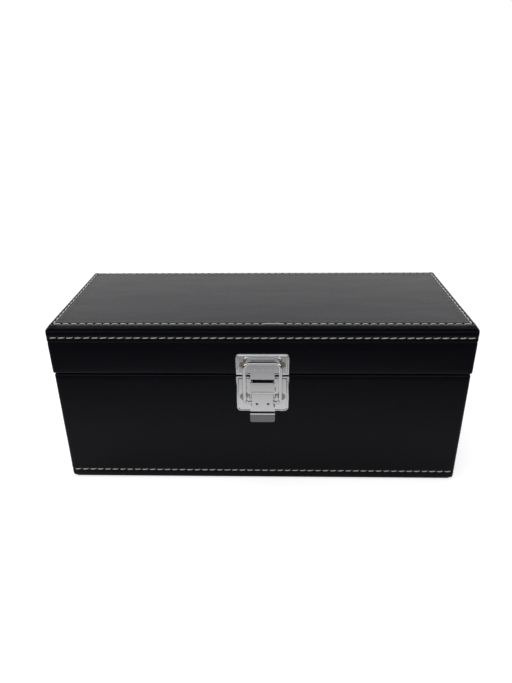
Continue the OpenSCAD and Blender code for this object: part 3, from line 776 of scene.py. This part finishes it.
def rack_strips():
    """The padded strips along the front and back walls of the rack."""
    soft = bpy.context.scene.case_velvet
    for side in ("front", "back"):
        node_name = f"rack_strip_{side}"
        bm = soft_block(node_name, soft.pad_edge, soft.crown * 0.7, [(2, 1)])
        add_piece(f"rack_pad_{side}", bm, "base", "velvet", [node_name])


def dividers():
    """The velvet-covered ribs that hold the coin holders apart."""
    soft = bpy.context.scene.case_velvet
    for side, inward in (("front", 1), ("back", -1)):
        node_name = f"dividers_{side}"
        low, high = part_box(node_name)
        width = soft.divider
        pitch = (high.x - low.x - width) / soft.holders
        bm = bmesh.new()
        for i in range(soft.holders + 1):
            rib = box_mesh((low.x + i * pitch, low.y, low.z), (low.x + i * pitch + width, high.y, high.z))
            face = high.y if inward > 0 else low.y
            shown = [
                e
                for e in rib.edges
                if all(abs(v.co.y - face) < SAME for v in e.verts)
                or all(v.co.z > high.z - SAME for v in e.verts)
            ]
            foot = [e for e in shown if all(v.co.z < low.z + SAME for v in e.verts)]
            round_edges(rib, [e for e in shown if e not in foot], soft.divider_edge, 3)
            mesh = bpy.data.meshes.new("rib")
            rib.to_mesh(mesh)
            rib.free()
            bm.from_mesh(mesh)
            bpy.data.meshes.remove(mesh)
        add_piece(f"velvet_dividers_{side}", bm, "base", "velvet", [node_name])


def lining(name, node_name, body, closed_side):
    """A velvet lining glued inside a shell, open on one side."""
    soft = bpy.context.scene.case_velvet
    low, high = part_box(node_name)
    wall = Vector((soft.lining, soft.lining, 0))
    lift = Z * soft.lining
    if closed_side < 0:
        bm = box_mesh(low + wall + lift, high - wall)
        open_z, closed_z = high.z, low.z + soft.lining
    else:
        bm = box_mesh(low + wall, high - wall - lift)
        open_z, closed_z = low.z, high.z - soft.lining
    bends = [e for e in bm.edges if not all(abs(v.co.z - open_z) < SAME for v in e.verts)]
    round_edges(bm, bends, soft.lining_bend, 3)
    mouth = [f for f in bm.faces if all(abs(v.co.z - open_z) < SAME for v in f.verts)]
    bmesh.ops.delete(bm, geom=mouth, context="FACES")
    bmesh.ops.recalc_face_normals(bm, faces=bm.faces)
    bmesh.ops.reverse_faces(bm, faces=bm.faces)
    give_wall(add_piece(name, bm, body, "velvet", [node_name]), soft.lining)


def plate_profile(sizes):
    """(inset, lift) steps from a plate's upright edge over its rim and through the groove inside it."""
    edge, turns = sizes.plate_edge, [math.pi / 8 * i for i in range(5)]
    points = [(edge * (1 - math.cos(t)), edge * (math.sin(t) - 1)) for t in turns]
    # (places in rim widths, depths in depths of the face)
    groove = ((0.25, 0), (0.4, 0.4), (0.55, 2.1), (0.7, 2.4), (0.85, 2.1), (1.2, 1.15), (1.35, 1))
    points += [(edge + sizes.plate_rim * k, -sizes.dish * drop) for k, drop in groove]
    return [(b[0] - a[0], b[1] - a[1]) for a, b in zip(points, points[1:])]


def pressed_plate(name, node_name, body, screws_node, round_top):
    """A pressed plate with a rounded, raised rim, and countersunk seats for its two screws."""
    sizes = bpy.context.scene.case_metal
    low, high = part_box(node_name)
    depth = high.y - low.y
    bm = flat_face((high.x - low.x) / 2, (high.z - low.z) / 2, -sizes.plate_edge)
    top = 1 if round_top else -1
    round_corners(bm, [v for v in bm.verts if v.co.y * top > 0], sizes.plate_corner, 8)
    front = bm.faces[:][0]
    back = extrude_ring(bm, front.edges[:], lambda point: Vector((point.x, point.y, -depth)))
    for thickness, lift in plate_profile(sizes):
        bmesh.ops.inset_region(bm, faces=[front], thickness=thickness, depth=lift, use_even_offset=True)
    inner = front.edges[:]
    bmesh.ops.delete(bm, geom=[front], context="FACES_ONLY")
    seat_low, seat_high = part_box(screws_node)
    middle = (low + high) / 2
    spread = (seat_high.x - seat_low.x - (seat_high.z - seat_low.z)) / 2
    face, seat, hole = -sizes.dish, sizes.seat, sizes.hole
    for x in (-spread, spread):
        centre = Vector((x, (seat_low.z + seat_high.z) / 2 - middle.z, 0))
        level = Matrix.Translation(centre + Z * face)
        mouth = bmesh.ops.create_circle(bm, segments=32, radius=seat + 0.12 * MM, matrix=level)
        edges = list({e for v in mouth["verts"] for e in v.link_edges})
        inner += edges
        for radius, height in (
            (seat + 0.04 * MM, face - 0.03 * MM),
            (seat, face - 0.1 * MM),
            (hole, face - sizes.seat_depth),
            (hole, -depth),
        ):

            def place(point):
                away = Vector((point.x - centre.x, point.y - centre.y, 0)).normalized()
                return centre + away * radius + Z * height

            edges = extrude_ring(bm, edges, place)
        back += edges
    for edges in (inner, back):
        bmesh.ops.triangle_fill(bm, use_beauty=True, edges=edges)
    place = Matrix.Translation((middle.x, low.y, middle.z)) @ Matrix.Rotation(math.pi / 2, 4, "X")
    bmesh.ops.transform(bm, matrix=place, verts=bm.verts)
    settle(bm)
    piece = add_piece(name, bm, body, "chrome", [node_name])
    for part in piece.data.polygons:
        part.use_smooth = abs(part.normal.y) < 0.999


# The stage


def stage_mesh(name, bm):
    """A piece of the stage, which isn't part of the case, and the tree of its empty material."""
    mesh = bpy.data.meshes.new(name)
    bm.to_mesh(mesh)
    bm.free()
    made = bpy.data.objects.new(name, mesh)
    bpy.context.scene.collection.objects.link(made)
    material, tree = start_material(name)
    mesh.materials.append(material)
    return made, tree


def studio_floor(stage):
    """A pale paper sweep that shows white to the camera and keeps the case's shadow. Its colour is painted
    darker further out, a painted shade standing in for the lamps' falloff, and it glows a little in
    reflections.
    """
    bm = bmesh.new()
    bmesh.ops.create_grid(bm, x_segments=1, y_segments=1, size=3)
    tree = stage_mesh("pale_paper_sweep", bm)[1]
    place = pattern_place(tree, (0.55, 1, 1))
    away = node(tree, "VectorMath", {0: place}, operation="LENGTH").outputs["Value"]
    # painted shade: the floor's colour darkens between 9 and 27 cm from the case's middle, standing in for the
    # lamps' falloff, and the camera's glow rises there to keep it white to the camera
    painted_falloff = node(
        tree, "MapRange", {"Value": away, "From Min": 0.09, "From Max": 0.27}, interpolation_type="SMOOTHSTEP"
    ).outputs[0]
    shade = node(
        tree, "Mix", {"Factor": painted_falloff, 6: tuple(stage.floor_near), 7: tuple(stage.floor_far_painted_shade)}, data_type="RGBA"
    )
    path = node(tree, "LightPath").outputs
    white = node(tree, "MapRange", {"Value": painted_falloff, "To Min": 0.7, "To Max": 0.98})
    seen = node(tree, "Math", {0: path["Is Camera Ray"], 1: white.outputs[0]}, operation="MULTIPLY")
    # painted reflection: the floor glows a little more for reflected rays only
    mirrored = {0: path["Is Glossy Ray"], 1: 0.06, 2: seen.outputs[0]}
    glow = node(tree, "Math", mirrored, operation="MULTIPLY_ADD")
    paper = node(tree, "BsdfDiffuse", {"Color": shade.outputs[2]})
    light = node(tree, "Emission", {"Color": (1, 1, 1, 1), "Strength": glow.outputs[0]})
    lit = node(tree, "AddShader", {0: paper.outputs[0], 1: light.outputs[0]})
    node(tree, "OutputMaterial", {"Surface": lit.outputs[0]})


def studio_screen(name, bm, glow, tint="#f4f4ff"):
    """A dark screen that shows only in reflections."""
    screen, tree = stage_mesh(name, bm)
    screen.visible_camera = screen.visible_diffuse = screen.visible_shadow = False
    cloth = node(tree, "Emission", {"Color": linear(tint), "Strength": glow})
    node(tree, "OutputMaterial", {"Surface": cloth.outputs[0]})


def studio_screens():
    """A brown table edge, a dark skirting and a dark ceiling, which draw the dark lines on the metal."""
    table, room = 0.7, 1.6
    bm = bmesh.new()
    bmesh.ops.create_circle(bm, segments=64, radius=table, matrix=Matrix.Translation(Z * MM))
    extrude_ring(bm, bm.edges[:], lambda point: Vector((point.x, point.y, 0)) * (room / table) + Z * MM)
    studio_screen("brown_table_edge", bm, 0.16, "#c9a596")
    bm = bmesh.new()
    bmesh.ops.create_circle(bm, segments=64, radius=room)
    extrude_ring(bm, bm.edges[:], lambda point: point + Z * 0.28)
    studio_screen("dark_skirting", bm, 0.01)
    bm = bmesh.new()
    bmesh.ops.create_circle(bm, segments=64, radius=room, cap_ends=True, matrix=Matrix.Translation(Z * 1.25))
    studio_screen("dark_ceiling", bm, 0.02)


def studio_world(ambient):
    """A white room for the camera and for reflections, and a softer one for the light that it sheds."""
    world = bpy.data.worlds.new("studio_room")
    world.use_nodes = True
    tree = world.node_tree
    tree.nodes.clear()
    path = node(tree, "LightPath").outputs
    direct = {0: path["Is Camera Ray"], 1: path["Is Glossy Ray"]}
    seen = node(tree, "Math", direct, operation="ADD")
    through = {0: seen.outputs[0], 1: path["Is Transmission Ray"]}
    seen = node(tree, "Math", through, operation="ADD", use_clamp=True)
    room = node(tree, "Background", {"Color": (1, 1, 1, 1), "Strength": ambient})
    white = node(tree, "Background", {"Color": (1, 1, 1, 1), "Strength": 1.0})
    mix = node(tree, "MixShader", {0: seen.outputs[0], 1: room.outputs[0], 2: white.outputs[0]})
    node(tree, "OutputWorld", {"Surface": mix.outputs[0]})
    bpy.context.scene.world = world


def soft_lamp(name, place, target, size, power, mirrored=False):
    """A soft lamp aimed at a point. Only a mirrored one shows in reflections."""
    lamp = bpy.data.lights.new(name, "AREA")
    lamp.shape = "RECTANGLE"
    lamp.size, lamp.size_y = size
    lamp.energy = power
    made = bpy.data.objects.new(name, lamp)
    made.location = place
    made.rotation_euler = (Vector(target) - Vector(place)).to_track_quat("-Z", "Y").to_euler()
    made.visible_glossy = mirrored
    bpy.context.scene.collection.objects.link(made)


def studio_camera(stage):
    """The camera at the photograph's viewing angle."""
    lens = bpy.data.cameras.new("studio_camera")
    lens.lens = stage.lens
    lens.sensor_width = 36
    lens.sensor_fit = "AUTO"
    lens.clip_start = 0.01
    made = bpy.data.objects.new("studio_camera", lens)
    made.location = stage.place
    made.rotation_euler = stage.turn
    bpy.context.scene.collection.objects.link(made)
    bpy.context.scene.camera = made


# Operators


class MakeBaseLeatherette(bpy.types.Operator):
    """Make the base's leatherette and the covered card under it"""

    bl_idname = "coin_case.base_leatherette"
    bl_label = "Base leatherette"

    def execute(self, context):
        base_cover()
        sole()
        return {"FINISHED"}


class MakeLidLeatherette(bpy.types.Operator):
    """Make the lid's band and its padded, stitched top"""

    bl_idname = "coin_case.lid_leatherette"
    bl_label = "Lid leatherette"

    def execute(self, context):
        lid_band()
        lid_top()
        return {"FINISHED"}


class MakeStitching(bpy.types.Operator):
    """Make the rows of stitches on the lid's top, its skirt and the base"""

    bl_idname = "coin_case.stitching"
    bl_label = "Stitching"

    def execute(self, context):
        leather, stitch = context.scene.case_leather, context.scene.case_stitch
        # without a seed, Blender takes one from the clock and the stitches lie differently each run
        noise.seed_set(1)
        tilt = math.radians(5)
        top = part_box("lid_top_cover")[1]
        rows = top_rows(top.x, top.y, top.z, leather)
        bm = sew_rows(rows, math.radians(1.5))
        # the thread's ends are sewn over twice on the top's front row
        for i in range(2):
            spot = rows[0].middle + X * (stitch.pitch * (i + 1)) + Z * stitch.thread * 0.25 + Y * 0.1 * MM
            sew(bm, spot, X, Y, Z, stitch, math.radians(2))
        add_piece("lid_top_stitches", bm, "lid", "thread")
        skirt = side_rows(top.x, top.y, top.z - leather.skirt_row, leather.corner)
        add_piece("lid_skirt_stitches", sew_rows(skirt, tilt), "lid", "thread")
        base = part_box("base_cover")[1]
        foot = side_rows(base.x, base.y, leather.base_row, leather.corner)
        add_piece("base_stitches", sew_rows(foot, tilt), "base", "thread")
        return {"FINISHED"}


class MakeLinings(bpy.types.Operator):
    """Make the velvet linings of the base and the lid"""

    bl_idname = "coin_case.linings"
    bl_label = "Linings"

    def execute(self, context):
        lining("base_velvet_lining", "base_lining", "base", -1)
        lining("lid_velvet_lining", "lid_lining", "lid", 1)
        return {"FINISHED"}


class MakePads(bpy.types.Operator):
    """Make the velvet pads on the floor and inside the lid"""

    bl_idname = "coin_case.pads"
    bl_label = "Pads"

    def execute(self, context):
        pads()
        return {"FINISHED"}


class MakeRack(bpy.types.Operator):
    """Make the padded strips and the ribs that keep the coin holders upright"""

    bl_idname = "coin_case.rack"
    bl_label = "Rack"

    def execute(self, context):
        rack_strips()
        dividers()
        return {"FINISHED"}


class MakeBoards(bpy.types.Operator):
    """Give the boards inside the base and the lid their fibreboard"""

    bl_idname = "coin_case.boards"
    bl_label = "Boards"

    def execute(self, context):
        for name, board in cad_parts.items():
            if name == "lid_top_board":
                metal_copy("lid_top_board_rounded", name, "lid", "board", context.scene.case_leather.top)
            elif name.endswith("_board"):
                board.material_slots[0].material = finish("board")
        return {"FINISHED"}


class MakeLatchPlates(bpy.types.Operator):
    """Make the two pressed plates of the latch"""

    bl_idname = "coin_case.latch_plates"
    bl_label = "Latch plates"

    def execute(self, context):
        pressed_plate("keeper_plate_pressed", "keeper_plate", "lid", "keeper_screws", True)
        pressed_plate("latch_plate_pressed", "latch_plate", "base", "latch_plate_screws", False)
        return {"FINISHED"}


class MakeLatch(bpy.types.Operator):
    """Make the latch's hook, bracket, lever, bail and pins"""

    bl_idname = "coin_case.latch"
    bl_label = "Latch"

    def execute(self, context):
        edge = context.scene.case_metal.edge
        metal_copy("keeper_hook_bent", "keeper_hook", "lid", "chrome", edge)
        metal_copy("latch_bracket_bent", "latch_bracket", "base", "chrome", edge)
        metal_copy("latch_lever_pressed", "latch_lever", "lever", "chrome", edge * 1.4, 3)
        metal_copy("latch_bail_wire", "latch_bail", "bail", "chrome", edge)
        metal_copy("bail_pin_wire", "bail_pin", "bail_pin", "pin_steel", edge)
        metal_copy("latch_pivot_rivet", "latch_pivot_pin", "base", "pin_steel", edge)
        return {"FINISHED"}


class MakeHinges(bpy.types.Operator):
    """Make the two hinges and their pins"""

    bl_idname = "coin_case.hinges"
    bl_label = "Hinges"

    def execute(self, context):
        edge = context.scene.case_metal.edge
        for side in ("left", "right"):
            metal_copy(f"base_leaf_{side}", f"hinge_base_leaf_{side}", "base", "chrome", edge)
            metal_copy(f"lid_leaf_{side}", f"hinge_lid_leaf_{side}", "lid", "chrome", edge)
            metal_copy(f"hinge_rivet_{side}", f"hinge_pin_{side}", "base", "pin_steel", edge)
        return {"FINISHED"}


class MakeScrews(bpy.types.Operator):
    """Make the countersunk cross-head screws"""

    bl_idname = "coin_case.screws"
    bl_label = "Screws"

    def execute(self, context):
        bodies = {"keeper": "lid", "latch_plate": "base", "hinge_base": "base", "hinge_lid": "lid"}
        for start, body in bodies.items():
            metal_copy(f"{start}_cross_screws", f"{start}_screws", body, "screw_steel", 0.08 * MM)
        return {"FINISHED"}


class MakeStudio(bpy.types.Operator):
    """Make the floor, the light and the camera"""

    bl_idname = "coin_case.studio"
    bl_label = "Studio"

    def execute(self, context):
        stage = context.scene.case_stage
        studio_floor(stage)
        studio_screens()
        studio_world(stage.ambient)
        soft_lamp("lamp_above", (-0.15, 0.05, 1.0), (0, 0, 0.05), (0.8, 0.8), stage.above)
        soft_lamp("lamp_front", (-0.5, -0.9, 0.6), (0, 0, 0.05), (0.5, 0.5), stage.beside)
        soft_lamp("lamp_behind", (0, 1.3, 0.52), (0, 0, 0.1), (2.4, 0.5), stage.behind, mirrored=True)
        studio_camera(stage)
        context.scene.view_settings.view_transform = "Standard"
        return {"FINISHED"}


class CoinCasePanel(bpy.types.Panel):
    """Lists what makes the coin display case"""

    bl_idname = "VIEW3D_PT_coin_case"
    bl_label = "Coin Display Case"
    bl_space_type = "VIEW_3D"
    bl_region_type = "UI"
    bl_category = "Coin Case"

    def draw(self, context):
        for made in OPERATORS:
            self.layout.operator(made.bl_idname)
        for sizes in GROUPS:
            held = getattr(context.scene, sizes)
            for name in held.__annotations__:
                self.layout.prop(held, name)


GROUPS = {
    "case_leather": CaseLeatherProps,
    "case_stitch": CaseStitchProps,
    "case_metal": CaseMetalProps,
    "case_velvet": CaseVelvetProps,
    "case_colours": CaseColourProps,
    "case_stage": CaseStageProps,
}
OPERATORS = (
    MakeBaseLeatherette,
    MakeLidLeatherette,
    MakeStitching,
    MakeLinings,
    MakePads,
    MakeRack,
    MakeBoards,
    MakeLatchPlates,
    MakeLatch,
    MakeHinges,
    MakeScrews,
    MakeStudio,
)


def register():
    for made in (*GROUPS.values(), *OPERATORS, CoinCasePanel):
        bpy.utils.register_class(made)
    for name, group in GROUPS.items():
        setattr(bpy.types.Scene, name, bpy.props.PointerProperty(type=group))


def unregister():
    for name in GROUPS:
        delattr(bpy.types.Scene, name)
    for made in (CoinCasePanel, *reversed(OPERATORS), *reversed(GROUPS.values())):
        bpy.utils.unregister_class(made)


def main():
    """Builds the whole case."""
    register()
    for made in OPERATORS:
        group, name = made.bl_idname.split(".")
        getattr(getattr(bpy.ops, group), name)()


if __name__ == "__main__":
    main()
